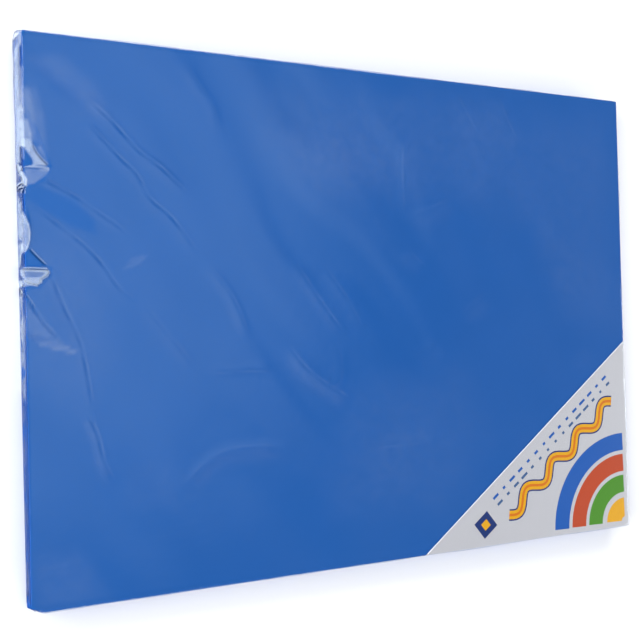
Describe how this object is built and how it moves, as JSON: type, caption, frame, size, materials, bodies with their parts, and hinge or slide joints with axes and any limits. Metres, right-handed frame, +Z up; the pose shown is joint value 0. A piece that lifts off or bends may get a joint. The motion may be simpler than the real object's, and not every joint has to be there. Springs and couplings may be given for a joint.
{
  "type": "bagged pack of craft foam sheets",
  "caption": "Flat stack of blue foam sheets with a three-cornered printed card, shut in a clear film bag.",
  "frame": {"origin": "middle of the underside, on the surface that the pack lies on", "axes": "+X along the long side, away from the bag's mouth; +Y along the short side, away from the card; +Z up through the stack to the front sheet"},
  "size_m": [0.606, 0.455, 0.0243],
  "materials": {
    "foam": "matte",
    "card": "satin",
    "film": "gloss"
  },
  "bodies": {
    "root": {"foam_sheet_01": "foam", "foam_sheet_02": "foam", "foam_sheet_03": "foam", "foam_sheet_04": "foam", "foam_sheet_05": "foam", "foam_sheet_06": "foam", "foam_sheet_07": "foam", "foam_sheet_08": "foam", "foam_sheet_09": "foam", "foam_sheet_10": "foam", "corner_card": "card", "clear_bag": "film"}
  },
  "joints": []
}
